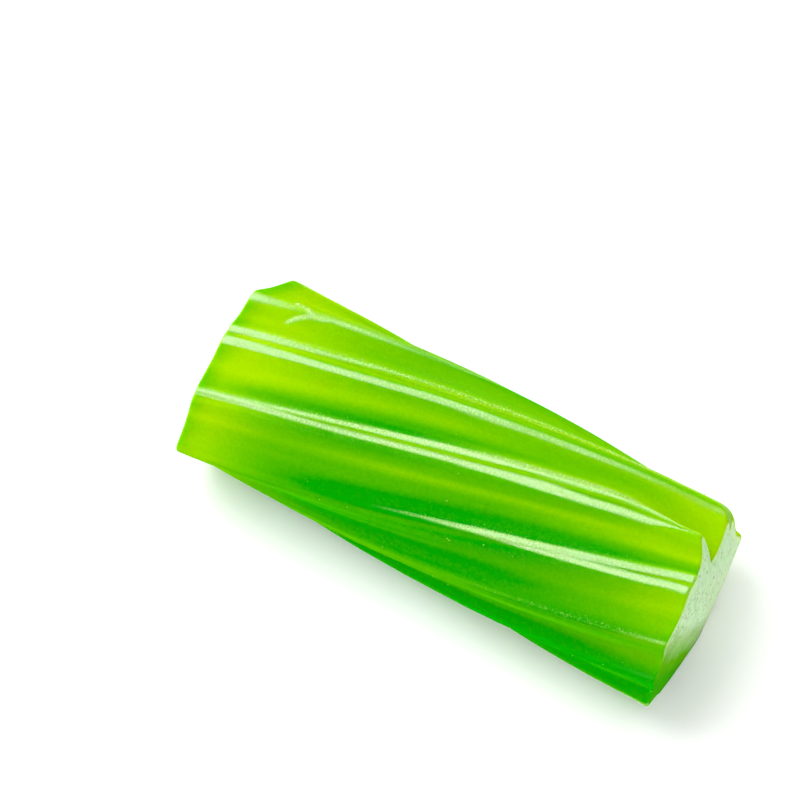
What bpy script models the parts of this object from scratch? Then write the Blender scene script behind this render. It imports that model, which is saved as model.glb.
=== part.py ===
"""A soft licorice stick: one cut length of solid fruit licorice with ten ribs and a slow left-handed twist.

The stick lies along X on the flat that its own weight pressed while it was soft. +Z is up, and the origin
is in the middle of the flat. Lengths are metres. Angles round the stick are degrees from +Y towards +Z.
"""

import math
from typing import NamedTuple

import bmesh
import bpy
from mathutils import Vector

MM = 0.001


class RibEnd(NamedTuple):
    """One rib where it meets one of the two cuts."""

    angle: float  # degrees round the stick
    spread: float  # from the rib's middle to each of the two beads along its top
    lift: float  # how far the rib stands above the common rib circle
    reach: float  # how far the rib's end runs past the plane of the cut


# The whole stick
LENGTH = 46.3 * MM
RIB_RADIUS = 9.2 * MM
FLAT_DROP = 7.9 * MM  # from the stick's middle down to the flat that it rests on
FLAT_ROUND = 0.35 * MM  # how softly the ribs roll into the flat

# The ten ribs in order round the stick, as they leave the cut at -X and as they arrive at the cut at +X
RIBS_AT_START = (
    RibEnd(30, 0.45 * MM, 0.2 * MM, 0),
    RibEnd(68, 0.3 * MM, 0.1 * MM, 0.1 * MM),
    RibEnd(97, 0.55 * MM, 0, 0),
    RibEnd(136, 0.35 * MM, 0, 0.1 * MM),
    RibEnd(182, 0.3 * MM, 0, 0.3 * MM),
    RibEnd(215, 0.45 * MM, -0.25 * MM, 0.3 * MM),
    RibEnd(241, 0.5 * MM, 0.1 * MM, 0.2 * MM),
    RibEnd(274, 0.6 * MM, 0.1 * MM, 0),
    RibEnd(312, 0.5 * MM, 0, -0.1 * MM),
    RibEnd(351, 0.55 * MM, 0.1 * MM, 0.1 * MM),
)
RIBS_AT_END = (
    RibEnd(-47, 0.6 * MM, 0, 0),
    RibEnd(-15, 0.5 * MM, 0.2 * MM, -0.1 * MM),
    RibEnd(30, 0.55 * MM, -0.1 * MM, -1.3 * MM),
    RibEnd(69, 0.85 * MM, 0, -1.4 * MM),
    RibEnd(101, 0.6 * MM, 0, -0.2 * MM),
    RibEnd(139, 0.4 * MM, 0, 0.1 * MM),
    RibEnd(164, 0.5 * MM, 0.1 * MM, 0.3 * MM),
    RibEnd(197, 0.6 * MM, 0.3 * MM, 0.2 * MM),
    RibEnd(235, 0.5 * MM, 0.2 * MM, 0),
    RibEnd(274, 0.45 * MM, 0, -0.2 * MM),
)

# Across one rib and the flute beside it
CREASE_DEPTH = 0.12 * MM  # between the two beads
FLUTE_DEPTH = 0.7 * MM  # from the rib circle down to the bottom of a flute
SHOULDER = 0.16  # how softly a flute leaves its bead, as a share of half the flute

# The deep, lopsided notch that opens in one flute towards the +X cut
NOTCH_RIB = 2
NOTCH_DEPTH = 2.9 * MM
NOTCH_RUN = 4.5 * MM
NOTCH_BOTTOM = 0.9  # where its bottom lies, as a share of the way to the next rib
NOTCH_PINCH = 0.8  # the share by which it draws the next rib's two beads together

# The two cuts
END_LEAN = math.tan(math.radians(1.4))  # the +X cut leans forwards at its top
END_LEAN_ANGLE = 114.0
TRIM_ANGLE = 25.0  # the -X cut is trimmed to a slant on this side
TRIM_START = 6.9 * MM
TRIM_SLOPE = 0.8
CUT_DOME = 0.3 * MM
CUT_ROUND = 0.22 * MM  # the rounded edge of a cut
REACH_POWER = 3  # a rib end's reach fades towards the middle of the cut by this power of the radius

# The mesh
FLUTE_STEPS = 10
COLUMNS_PER_RIB = FLUTE_STEPS + 2  # the crease, then the flute from one bead to the next
RIB_COUNT = len(RIBS_AT_START)
COLUMNS = RIB_COUNT * COLUMNS_PER_RIB
ROWS = 26
CUT_RINGS = (0.96, 0.8, 0.5)  # rings of faces on each cut, as shares of its radius


def between(first: float, second: float, share: float) -> float:
    """The value that lies at a share of the way from the first to the second."""
    return first + (second - first) * share


def straight_rib(number: int, along: float) -> RibEnd:
    """A rib at a share of the stick's length, before the notch bends it. Rib 10 is rib 0, a turn further."""
    turns, index = divmod(number, RIB_COUNT)
    start, end = RIBS_AT_START[index], RIBS_AT_END[index]
    return RibEnd(
        between(start.angle, end.angle, along) + 360 * turns,
        between(start.spread, end.spread, along),
        between(start.lift, end.lift, along),
        between(start.reach, end.reach, along),
    )


def notch_fade(along: float) -> float:
    """How much of the notch there is at a share of the stick's length, from 1 at the +X cut."""
    return math.exp(-(((1 - along) * LENGTH / NOTCH_RUN) ** 2))


def rib_at(number: int, along: float) -> RibEnd:
    """A rib at a share of the stick's length. The notch draws the beads of the rib beyond it together."""
    rib = straight_rib(number, along)
    if number % RIB_COUNT != NOTCH_RIB + 1:
        return rib
    return rib._replace(spread=rib.spread * (1 - NOTCH_PINCH * notch_fade(along)))


def flute_drop(share: float) -> float:
    """How far a flute lies under its beads, from 0 at a bead to FLUTE_DEPTH half way to the next."""
    near = 2 * min(share, 1 - share)
    soft = (math.hypot(near, SHOULDER) - SHOULDER) / (math.hypot(1, SHOULDER) - SHOULDER)
    return FLUTE_DEPTH * soft * (2 - soft)


def notch_drop(share: float, along: float) -> float:
    """The extra depth of the notch, a slanted V that fades away from the +X cut."""
    across = min(share / NOTCH_BOTTOM, (1 - share) / (1 - NOTCH_BOTTOM))
    return NOTCH_DEPTH * across * notch_fade(along)


def outline_point(column: int, along: float) -> tuple[float, float, float]:
    """The angle in radians, the radius and the reach of one column of points at a share of the length."""
    number, step = divmod(column, COLUMNS_PER_RIB)
    rib, following = rib_at(number, along), rib_at(number + 1, along)
    if step == 0:
        return math.radians(rib.angle), RIB_RADIUS + rib.lift - CREASE_DEPTH, rib.reach
    share = (1 - math.cos(math.pi * (step - 1) / FLUTE_STEPS)) / 2
    first_bead = rib.angle + math.degrees(rib.spread / RIB_RADIUS)
    last_bead = following.angle - math.degrees(following.spread / RIB_RADIUS)
    angle = between(first_bead, last_bead, share)
    radius = RIB_RADIUS + between(rib.lift, following.lift, share) - flute_drop(share)
    if number == NOTCH_RIB:
        radius -= notch_drop(share, along)
    return math.radians(angle), radius, between(rib.reach, following.reach, share)


def cut_edge(from_cut: float) -> float:
    """How far the surface draws in over the last stretch before a cut, as a quarter round."""
    short = max(0.0, 1 - from_cut / CUT_ROUND)
    return CUT_ROUND * (1 - math.sqrt(1 - short * short))


def pressed_flat(height: float) -> float:
    """A height over the stick's middle, where the flat stops it, with a round of FLAT_ROUND between the two."""
    above = height + FLAT_DROP
    if above <= -FLAT_ROUND:
        return -FLAT_DROP
    if above >= FLAT_ROUND:
        return height
    return -FLAT_DROP + (above + FLAT_ROUND) ** 2 / (4 * FLAT_ROUND)


def cut_plane(at_end: bool, across: float, height: float) -> float:
    """Where a cut lies along X at a point of the section."""
    if at_end:
        lean = math.radians(END_LEAN_ANGLE)
        return LENGTH / 2 + END_LEAN * (across * math.cos(lean) + height * math.sin(lean))
    trim = math.radians(TRIM_ANGLE)
    beyond = across * math.cos(trim) + height * math.sin(trim) - TRIM_START
    return -LENGTH / 2 + TRIM_SLOPE * max(0.0, beyond)


def section(column: int, along: float, ring: float) -> tuple[float, float]:
    """A point of the cross-section: ring 1 is the outline, and smaller rings lie inside it."""
    angle, radius, _ = outline_point(column, along)
    from_cut = min(along, 1 - along) * LENGTH
    radius = ring * (radius - cut_edge(from_cut))
    return radius * math.cos(angle), pressed_flat(radius * math.sin(angle))


def cut_point(column: int, at_end: bool, ring: float) -> float:
    """Where a point of a cut's surface lies along X."""
    along = 1.0 if at_end else 0.0
    outwards = 1 if at_end else -1
    _, radius, reach = outline_point(column, along)
    from_middle = ring * radius / RIB_RADIUS
    bulge = reach * from_middle**REACH_POWER + CUT_DOME * (1 - from_middle**2)
    return cut_plane(at_end, *section(column, along, ring)) + outwards * bulge


def stick_point(column: int, along: float, ring: float) -> Vector:
    """The place of one point of the stick, before the flat is set on the ground."""
    start, end = cut_point(column, False, ring), cut_point(column, True, ring)
    across, height = section(column, along, ring)
    return Vector((between(start, end, along), across, height))


def plain_blank() -> bmesh.types.BMesh:
    """A closed cylinder one unit long and one in radius, with the rows and rings that the stick needs."""
    blank = bmesh.new()
    bmesh.ops.create_cone(blank, cap_ends=True, segments=COLUMNS, radius1=1, radius2=1, depth=1)
    sides = [edge for edge in blank.edges if edge.verts[0].co.z * edge.verts[1].co.z < 0]
    bmesh.ops.subdivide_edges(blank, edges=sides, cuts=ROWS - 1)
    for cut in [face for face in blank.faces if len(face.verts) == COLUMNS]:
        outer = 1.0
        for ring in CUT_RINGS:
            bmesh.ops.inset_region(blank, faces=[cut], thickness=outer - ring)
            outer = ring
        bmesh.ops.poke(blank, faces=[cut])
    return blank


def shape_stick(blank: bmesh.types.BMesh) -> None:
    """Move every point of the blank to its place on the stick, then centre the stick over the origin."""
    for vert in blank.verts:
        turn = math.atan2(vert.co.y, vert.co.x) / math.tau
        column = round(turn * COLUMNS) % COLUMNS
        along = (1 - math.cos(math.pi * (vert.co.z + 0.5))) / 2
        vert.co = stick_point(column, along, min(1.0, math.hypot(vert.co.x, vert.co.y)))
    xs, ys = [vert.co.x for vert in blank.verts], [vert.co.y for vert in blank.verts]
    middle = Vector((min(xs) + max(xs), min(ys) + max(ys), -2 * FLAT_DROP)) / 2
    bmesh.ops.translate(blank, verts=blank.verts, vec=-middle)
    bmesh.ops.recalc_face_normals(blank, faces=blank.faces)


def jelly_material() -> bpy.types.Material:
    """Glossy, cloudy green jelly."""
    jelly = bpy.data.materials.new("green_licorice_jelly")
    jelly.use_nodes = True
    shader = jelly.node_tree.nodes["Principled BSDF"]
    shader.inputs["Base Color"].default_value = (0.133, 0.546, 0.003, 1)
    shader.inputs["Roughness"].default_value = 0.3
    shader.inputs["Metallic"].default_value = 0
    jelly.diffuse_color = (0.133, 0.546, 0.003, 1)
    return jelly


def clear_scene() -> None:
    """Remove whatever the scene holds."""
    for item in list(bpy.data.objects):
        bpy.data.objects.remove(item, do_unlink=True)


def build() -> None:
    """Model the stick, in a collection of its own."""
    clear_scene()
    blank = plain_blank()
    shape_stick(blank)
    mesh = bpy.data.meshes.new("licorice_stick")
    blank.to_mesh(mesh)
    blank.free()
    mesh.shade_smooth()
    mesh.set_sharp_from_angle(angle=math.radians(50))
    mesh.materials.append(jelly_material())
    collection = bpy.data.collections.new("Licorice stick")
    bpy.context.scene.collection.children.link(collection)
    collection.objects.link(bpy.data.objects.new("licorice_stick", mesh))


build()
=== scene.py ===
"""A soft licorice stick: a cut length of solid green licorice with ten ribs and a slow left-handed twist.

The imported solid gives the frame. One finer surface of the same form stands for it here, with the rounded
beads of the ribs, the drag lines of the die, the torn nick and the frosty cuts, and fine grains lie on it.
Lengths are metres, +X runs along the stick and +Z up. Angles round the stick are degrees from +Y towards +Z.
"""

import logging
import math
from dataclasses import dataclass
from enum import Enum
from typing import NamedTuple

import bpy
import numpy as np
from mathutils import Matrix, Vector


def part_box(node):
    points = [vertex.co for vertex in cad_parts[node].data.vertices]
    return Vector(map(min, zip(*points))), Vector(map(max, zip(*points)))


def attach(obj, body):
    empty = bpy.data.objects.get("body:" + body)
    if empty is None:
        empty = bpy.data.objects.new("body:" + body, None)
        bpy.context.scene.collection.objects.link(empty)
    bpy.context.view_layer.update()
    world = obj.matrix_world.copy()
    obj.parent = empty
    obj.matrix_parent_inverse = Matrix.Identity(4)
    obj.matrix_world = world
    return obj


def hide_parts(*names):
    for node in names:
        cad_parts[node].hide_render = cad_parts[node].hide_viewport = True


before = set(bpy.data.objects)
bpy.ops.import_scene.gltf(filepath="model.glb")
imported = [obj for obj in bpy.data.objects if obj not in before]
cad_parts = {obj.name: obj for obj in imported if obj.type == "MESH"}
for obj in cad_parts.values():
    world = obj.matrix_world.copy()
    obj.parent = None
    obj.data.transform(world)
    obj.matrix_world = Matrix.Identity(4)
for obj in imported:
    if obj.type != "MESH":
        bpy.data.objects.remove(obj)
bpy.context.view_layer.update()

MM = 0.001
NODE = "licorice_stick"
BODY = "root"
SIDE_RING = 0.999  # a point's ring mark is above this on the stick's side, and below it on a cut
LOG = logging.getLogger(NODE)

Linkable = bpy.types.NodeSocket | float | int | bool | str | tuple | Vector | bpy.types.ID | None
Pair = tuple[float, float]
Triple = tuple[float, float, float]


def add(tree: bpy.types.NodeTree, kind: str, *inputs: Linkable, **settings: object) -> bpy.types.NodeSocket:
    """Add a node to a tree, with its settings and links.

    Args:
        tree: the node tree that gets the node.
        kind: the node's type.
        inputs: what feeds each of its enabled inputs in turn: a socket, a plain value, or None to leave it.
        settings: the node's own properties.

    Returns:
        The node's first enabled output, or its first input if it has none.
    """
    node = tree.nodes.new(kind)
    for name, value in settings.items():
        setattr(node, name, value)
    sockets = [socket for socket in node.inputs if socket.enabled]
    for socket, value in zip(sockets, inputs):
        if isinstance(value, bpy.types.NodeSocket):
            tree.links.new(value, socket)
        elif value is not None:
            socket.default_value = value
    return next(socket for socket in (*node.outputs, *node.inputs) if socket.enabled)


def new_object(name: str, data: bpy.types.ID) -> bpy.types.Object:
    """Make an object and link it to the scene.

    Args:
        name: the object's name.
        data: its mesh, light or camera.

    Returns:
        The object, at the origin.
    """
    made = bpy.data.objects.new(name, data)
    bpy.context.scene.collection.objects.link(made)
    return made


def linear(colour: str) -> tuple[float, float, float, float]:
    """Turn an sRGB colour into a linear one.

    Args:
        colour: the sRGB colour in six hex digits, such as 7CC800.

    Returns:
        Linear red, green and blue, and an alpha of 1.
    """
    shares = [int(colour[place : place + 2], 16) / 255 for place in (0, 2, 4)]
    turned = [share / 12.92 if share <= 0.04045 else ((share + 0.055) / 1.055) ** 2.4 for share in shares]
    return (*turned, 1.0)


class Cut(Enum):
    """The two cut ends of the stick."""

    START = 0  # at -X, trimmed on one side
    END = 1  # at +X, with the deep notch


class RibEnd(NamedTuple):
    """One rib where it meets one of the two cuts."""

    angle: float  # degrees round the stick
    spread: float  # from the rib's middle to each of the two beads along its top
    lift: float  # how far the rib stands above the common rib circle
    reach: float  # how far the rib's end runs past the plane of the cut


RIBS = {
    Cut.START: (
        RibEnd(27, 0.45 * MM, -0.05 * MM, 0.25 * MM),
        RibEnd(68, 0.3 * MM, 0.1 * MM, 0.1 * MM),
        RibEnd(97, 0.55 * MM, 0, 0),
        RibEnd(136, 0.35 * MM, 0, 0.1 * MM),
        RibEnd(183, 0.3 * MM, 0.2 * MM, 0.6 * MM),
        RibEnd(215, 0.45 * MM, -0.5 * MM, 0.5 * MM),
        RibEnd(241, 0.4 * MM, 0, 0.2 * MM),
        RibEnd(274, 0.6 * MM, 0.1 * MM, 0),
        RibEnd(312, 0.5 * MM, 0, -0.1 * MM),
        RibEnd(351, 0.55 * MM, 0.1 * MM, 0.1 * MM),
    ),
    Cut.END: (
        RibEnd(-47, 0.6 * MM, -0.3 * MM, 0),
        RibEnd(-19, 0.5 * MM, 0.2 * MM, -0.1 * MM),
        RibEnd(30, 0.55 * MM, -0.1 * MM, -1.3 * MM),
        RibEnd(69, 0.85 * MM, 0, -1.7 * MM),
        RibEnd(101, 0.6 * MM, 0, -0.2 * MM),
        RibEnd(139, 0.4 * MM, 0, 0.1 * MM),
        RibEnd(164, 0.25 * MM, 0.1 * MM, 0.3 * MM),
        RibEnd(197, 0.6 * MM, 0.3 * MM, 0.2 * MM),
        RibEnd(235, 0.5 * MM, 0.2 * MM, 0),
        RibEnd(274, 0.45 * MM, 0, 0.4 * MM),
    ),
}


@dataclass
class RibOutline:
    """The stick's outline at each cut: pairs of round beads with a crease between, and flutes beside them."""

    rib_radius: float = 9.2 * MM
    crease_depth: float = 0.1 * MM
    crease_spread: float = 0.6 * MM  # a crease between beads that lie closer than this is shallower
    flute_depth: float = 0.7 * MM
    shoulder: float = 0.16  # how softly a flute leaves its bead, as a share of half the flute
    notch_rib: int = 2
    notch_depth: float = 2.9 * MM
    notch_bottom: float = 0.95
    notch_pinch: float = 0.8
    notch_push: float = 4.5  # degrees that the notch bends the rib beyond it aside
    dent_depth: float = 0.65 * MM  # how much deeper the +X cut is in the flute before the notch
    worn_corner: float = 1.5 * MM  # how much rounder the cut's edge is on the rib before the notch
    worn_columns: float = 8.0  # how many columns that takes in
    crease_steps: int = 4
    flute_steps: int = 28
    bead_crowding: float = 0.7  # how far the columns of a flute crowd towards its beads

    @property
    def columns_per_rib(self) -> int:
        """The columns of points from one crease to the next."""
        return 2 * self.crease_steps + self.flute_steps

    @property
    def columns(self) -> int:
        """The columns of points all round the stick."""
        return len(RIBS[Cut.START]) * self.columns_per_rib

    def rib(self, number: int, cut: Cut, notched: bool) -> RibEnd:
        """Look up a rib at one cut.

        Args:
            number: the rib. Rib 10 is rib 0, a turn further.
            cut: the end of the stick.
            notched: whether the notch draws the beads of the rib beyond it together.

        Returns:
            The rib's end, with its angle counted on past a full turn.
        """
        turns, index = divmod(number, len(RIBS[cut]))
        found = RIBS[cut][index]
        bent = notched and index == self.notch_rib + 1
        angle = found.angle + 360 * turns + (self.notch_push if bent else 0)
        return found._replace(angle=angle, spread=found.spread * (1 - self.notch_pinch if bent else 1))

    def flute_drop(self, share: float) -> float:
        """How far a flute lies under its beads.

        Args:
            share: how far across the flute it is, from 0 at one bead to 1 at the next.

        Returns:
            The drop in metres.
        """
        near = 2 * min(share, 1 - share)
        round_off = math.hypot(1, self.shoulder) - self.shoulder
        soft = (math.hypot(near, self.shoulder) - self.shoulder) / round_off
        return self.flute_depth * soft * (2 - soft)

    def notch_drop(self, share: float) -> float:
        """The extra depth of the notch at the +X cut, a slanted V."""
        return self.notch_depth * min(share / self.notch_bottom, (1 - share) / (1 - self.notch_bottom))

    def beside_crease(self, rib: RibEnd, side: int, share: float) -> Vector:
        """A point between a rib's crease and one of its beads.

        Args:
            rib: the rib.
            side: 1 for the bead after the crease, -1 for the one before it.
            share: 0 at the crease and 1 on the bead.

        Returns:
            The angle in radians, the radius and the reach.
        """
        depth = self.crease_depth * min(1, (rib.spread / self.crease_spread) ** 2)
        angle = math.radians(rib.angle) + side * share * rib.spread / self.rib_radius
        return Vector((angle, self.rib_radius + rib.lift - depth * (1 - share) ** 2, rib.reach))

    def flute_share(self, step: int) -> float:
        """The share of the way across its flute of one column, which crowd towards both beads."""
        even = (step - self.crease_steps) / self.flute_steps
        return even - self.bead_crowding * math.sin(math.tau * even) / math.tau

    def point(self, column: int, cut: Cut, notched: bool) -> Vector:
        """One column's point of the outline at one cut.

        Args:
            column: the column, counted from the crease of rib 0.
            cut: the end of the stick.
            notched: whether the notch is there.

        Returns:
            The angle in radians, the radius and the reach.
        """
        number, step = divmod(column, self.columns_per_rib)
        rib, following = self.rib(number, cut, notched), self.rib(number + 1, cut, notched)
        if step < self.crease_steps:
            return self.beside_crease(rib, 1, step / self.crease_steps)
        if step > self.crease_steps + self.flute_steps:
            return self.beside_crease(following, -1, (self.columns_per_rib - step) / self.crease_steps)
        share = self.flute_share(step)
        found = self.beside_crease(rib, 1, 1).lerp(self.beside_crease(following, -1, 1), share)
        found.y -= self.flute_drop(share)
        if notched and number == self.notch_rib:
            found.y -= self.notch_drop(share)
        if notched and number == self.notch_rib - 1:
            found.y -= self.dent_depth * math.sin(math.pi * share)
        return found

    def paint(self, column: int) -> Vector:
        """What the finish needs to know of a column.

        Args:
            column: the column, counted from the crease of rib 0.

        Returns:
            How far across its flute it lies, from -1 in one crease over 0 and 1 at the beads to 2 in the next
            crease; how much rounder the edge of the +X cut is there; and the number of its rib.
        """
        number, step = divmod(column, self.columns_per_rib)
        across = self.flute_share(step)
        if step < self.crease_steps:
            across = step / self.crease_steps - 1
        if step > self.crease_steps + self.flute_steps:
            across = 2 - (self.columns_per_rib - step) / self.crease_steps
        from_corner = (column - self.notch_rib * self.columns_per_rib) / self.worn_columns
        return Vector((across, self.worn_corner * math.exp(-(from_corner**2)), number))

    def guide(self) -> bpy.types.Object:
        """Make the guide for the stick's shape, which carries the outlines at the two cuts.

        Returns:
            An object with one loose point for each column.
        """
        mesh = bpy.data.meshes.new("outline_guide")
        mesh.vertices.add(self.columns)
        columns = range(self.columns)
        rims = {cut: [self.point(column, cut, notched=False) for column in columns] for cut in Cut}
        bent = [self.point(column, Cut.END, notched=True) for column in columns]
        carried = {
            "start": rims[Cut.START],
            "end": rims[Cut.END],
            "notch": [after - before for after, before in zip(bent, rims[Cut.END])],
            "paint": [self.paint(column) for column in columns],
        }
        for name, vectors in carried.items():
            layer = mesh.attributes.new(name, "FLOAT_VECTOR", "POINT")
            layer.data.foreach_set("vector", [number for vector in vectors for number in vector])
        return new_object("outline_guide", mesh)


class Strip(NamedTuple):
    """The polished top of one bead: its edges beside its rib's crease, at even stations along the stick."""

    rib: int
    low: tuple[float, ...]  # millimetres, from the -X cut to the +X cut
    high: tuple[float, ...]
    shine: tuple[float, ...]  # how well it is polished, 0 to 1


STRIPS = (
    Strip(
        1,
        (-0.7, -0.7, -0.5, 0, 0.2, -0.3, -0.6, -0.6, -0.6, -0.6, -0.6),
        (-0.3, -0.2, 0, 0.6, 0.8, 0.3, -0.1, -0.1, -0.1, -0.1, -0.1),
        (0, 0, 0.1, 0.3, 0.35, 0.3, 0.3, 0.3, 0.4, 0.5, 0.6),
    ),
    Strip(
        1,
        (0, 0.3, 0.4),
        (0.8, 0.85, 0.8),
        (1, 0.5, 0, 0.65, 0.5, 0.4, 0.25, 0.15, 0.1, 0, 0, 0, 0.1, 0.15, 0.2, 0.3, 0.3, 0.3, 0.3, 0.3, 0.3),
    ),
    Strip(
        2,
        (-0.6, -0.6, -0.5, -0.75, -0.9, -0.95, -0.95, -0.9, -0.8, -0.7, -0.6),
        (0, 0, -0.15, -0.4, -0.55, -0.5, -0.4, -0.3, -0.2, -0.15, -0.2),
        (1, 0.85, 0.6, 0.55, 0.35, 0.2, 0.2, 0.05, 0.3, 0.4, 0.8),
    ),
    Strip(
        2,
        (0.45, 0.6, 0.7, 0.65, 0.6, 0.7, 0.8, 0.82, 0.85, 0.88, 0.9),
        (1.15, 1.2, 1.2, 1.17, 1.15, 1.25, 1.35, 1.35, 1.35, 1.3, 1.1),
        (1, 0.95, 0.95, 0.8, 0.7, 0.8, 0.45, 0.55, 0.35, 0.1, 0.35),
    ),
    Strip(
        3,
        (-0.65, -0.65, -0.72, -0.85, -1, -1.2, -1.4, -1.5, -1.5, -1.15, -0.8),
        (-0.45, -0.45, -0.4, -0.45, -0.5, -0.6, -0.6, -0.55, -0.5, -0.35, -0.3),
        (0.3, 0.6, 0.85, 0.75, 0.95, 0.95, 0.95, 0.8, 0.9, 0.65, 0),
    ),
    Strip(
        3,
        (-0.55, -0.5, -0.2, -0.1, -0.1, -0.1, -0.05, -0.05, 0.3, 0.45, 0.1),
        (0.05, 0.05, 0.2, 0.33, 0.33, 0.35, 0.6, 0.85, 1, 1.1, 0.5),
        (0.9, 1, 0.8, 0.8, 1, 0.95, 0.95, 0.95, 0.85, 0.9, 0.6),
    ),
    Strip(
        4,
        (-0.6, -0.6, -0.6, -0.6, -0.75, -0.78, -0.8, -0.7, -0.65, -0.6, -0.65),
        (-0.5, -0.5, -0.5, -0.5, -0.65, -0.6, -0.3, -0.1, -0.05, -0.08, -0.1),
        (0, 0, 0, 0, 0, 0.45, 0.85, 0.95, 0.9, 0.9, 1),
    ),
    Strip(
        4,
        (-0.6, -0.6, -0.6, -0.6, -0.6, -0.6, -0.4, -0.2, 0, 0.22, 0.42),
        (-0.5, -0.5, -0.5, -0.5, -0.5, -0.5, -0.3, 0.15, 0.5, 0.8, 1),
        (0, 0, 0, 0, 0, 0, 0.85, 1, 1, 1, 0.95),
    ),
    Strip(5, (-0.5,), (-0.2,), (0, 0, 0, 0, 0, 0, 0, 0, 0, 0, 0.6)),
    Strip(6, (-0.6,), (-0.3,), (0, 0, 0, 0, 0, 0, 0, 0, 0, 0, 0.04)),
)
PLAIN_STRIPS = (
    Strip(0, (-0.75, -0.7, -0.8), (-0.2, -0.3, -0.2), (0.6,)),
    Strip(0, (0.2, 0.25, 0.2), (0.7, 0.8, 0.7), (0.6,)),
)


class RibShading(NamedTuple):
    """The painted light and shade along a rib, from 0 for deep green to 1 for yellow-green: painted shade on
    the stick's underside and along the rim of the -X cut, painted glow near the cuts.
    """

    middle: float
    start: float  # painted glow at the -X cut
    start_run: float  # millimetres over which that fades to the middle's
    end: float  # painted glow at the +X cut
    end_run: float
    rim: float  # painted shade: how much deeper the green is along the rim of the -X cut


RIB_SHADING = (
    RibShading(0.47, 0.78, 9, 0.7, 7, 0.45),
    RibShading(0.43, 0.86, 10, 0.7, 7, 0.3),
    RibShading(0.5, 1, 10, 0.75, 6, 0.4),
    RibShading(0.42, 0.96, 7.5, 0.74, 8, 0.35),
    RibShading(0.17, 0.78, 5.5, 0.77, 7, 0.22),
    RibShading(0.26, 0.75, 4.5, 0.46, 5, 0.1),
    RibShading(0.02, 0.5, 5, 0, 5, 0),
    RibShading(0.05, 0.5, 5, 0.05, 5, 0.1),
    RibShading(0.25, 0.6, 6, 0.4, 6, 0.2),
    RibShading(0.4, 0.8, 8, 0.6, 7, 0.3),
)


class ShadingStreak(NamedTuple):
    """A painted streak along a flute: painted shade, a deeper green beside a rib's steep side, or painted
    light, a lighter green across the flute.
    """

    flute: int  # the flute beyond the rib of this number
    share: float  # where its middle lies across the flute
    width: float  # how far it fades out on each side, as a share of the flute
    start: float  # where it begins and ends along the stick
    stop: float
    light: float  # painted light, how much lighter the green is, or painted shade, deeper, if it is less than 0


SHADING_STREAKS = (
    ShadingStreak(0, 0.85, 0.35, -0.2, 0.05, -0.24),
    ShadingStreak(1, 0.03, 0.09, 0.2, 0.95, -0.28),
    ShadingStreak(1, 0.6, 0.3, 0.2, 0.45, -0.08),
    ShadingStreak(1, 0.78, 0.2, -0.2, 0.06, -0.28),
    ShadingStreak(1, 1.5, 0.6, 0.3, 0.85, 0.3),
    ShadingStreak(2, -0.6, 0.5, 0.2, 0.55, 0.2),
    ShadingStreak(2, -0.4, 0.5, 0.78, 1.2, -0.16),
    ShadingStreak(2, 0, 0.15, 0.75, 1.2, -0.14),
    ShadingStreak(2, 0.17, 0.12, 0.58, 1.2, 0.2),
    ShadingStreak(2, 0.5, 0.13, -0.2, 0.3, 0.14),
    ShadingStreak(2, 0.4, 0.2, 0.15, 0.55, 0.2),
    ShadingStreak(2, 0.4, 0.25, 0.92, 1.2, 0.18),
    ShadingStreak(2, 0.83, 0.16, 0.02, 0.52, -0.44),
    ShadingStreak(2, 0.66, 0.1, 0.35, 0.62, -0.24),
    ShadingStreak(2, 0.68, 0.13, 0.82, 1.3, 0.1),
    ShadingStreak(2, 0.94, 0.22, 0.55, 0.9, 0.3),
    ShadingStreak(2, 1.6, 0.6, 0.3, 0.85, 0.25),
    ShadingStreak(3, 0.05, 0.13, 0.2, 0.48, -0.2),
    ShadingStreak(3, 0.32, 0.11, -0.2, 0.35, 0.16),
    ShadingStreak(3, 0.32, 0.12, 0.32, 0.9, 0.37),
    ShadingStreak(3, 0.5, 0.14, 0.72, 1.2, 0.2),
    ShadingStreak(3, 0.68, 0.12, 0.5, 1.2, -0.14),
    ShadingStreak(3, 0.86, 0.18, 0.25, 1.2, -0.44),
    ShadingStreak(3, 0.86, 0.12, 0.45, 0.8, -0.18),
    ShadingStreak(3, 1, 0.08, 0.58, 1.3, 0.4),
    ShadingStreak(3, 1.3, 0.5, 0.33, 0.6, -0.3),
    ShadingStreak(4, -0.3, 0.5, 0.6, 0.7, -0.3),
    ShadingStreak(4, 0, 0.2, 0.33, 0.75, -0.12),
    ShadingStreak(4, 0.25, 0.15, 0.1, 0.55, -0.14),
    ShadingStreak(4, 0.2, 0.14, 0.8, 1.2, 0.12),
    ShadingStreak(4, 0.47, 0.12, 0.1, 0.6, -0.1),
    ShadingStreak(4, 0.42, 0.18, 0.76, 1.2, 0.2),
    ShadingStreak(4, 0.64, 0.19, 0.25, 0.7, -0.45),
    ShadingStreak(4, 0.84, 0.1, 0.35, 0.7, -0.12),
    ShadingStreak(4, 0.97, 0.14, 0.8, 1.3, -0.2),
    ShadingStreak(4, 1.5, 0.4, 0.66, 0.9, -0.6),
    ShadingStreak(5, -0.7, 0.4, 0.68, 0.82, -0.3),
    ShadingStreak(5, 0.5, 0.3, 0.85, 1.2, 0.24),
    ShadingStreak(5, 0.7, 0.2, -0.1, 0.25, 0.18),
    ShadingStreak(5, 0.76, 0.2, 0.28, 0.88, -0.2),
    ShadingStreak(5, 1.2, 0.4, 0.68, 1.3, -0.45),
    ShadingStreak(6, -0.2, 0.6, 0.65, 1.3, -0.3),
    ShadingStreak(6, 0.4, 0.3, 0.68, 0.9, -0.25),
    ShadingStreak(6, 0.72, 0.14, 0.42, 0.58, 0.3),
)
PLAIN_SHADING_STREAK = ShadingStreak(0, 0.82, 0.22, 0.25, 0.8, -0.3)


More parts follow.
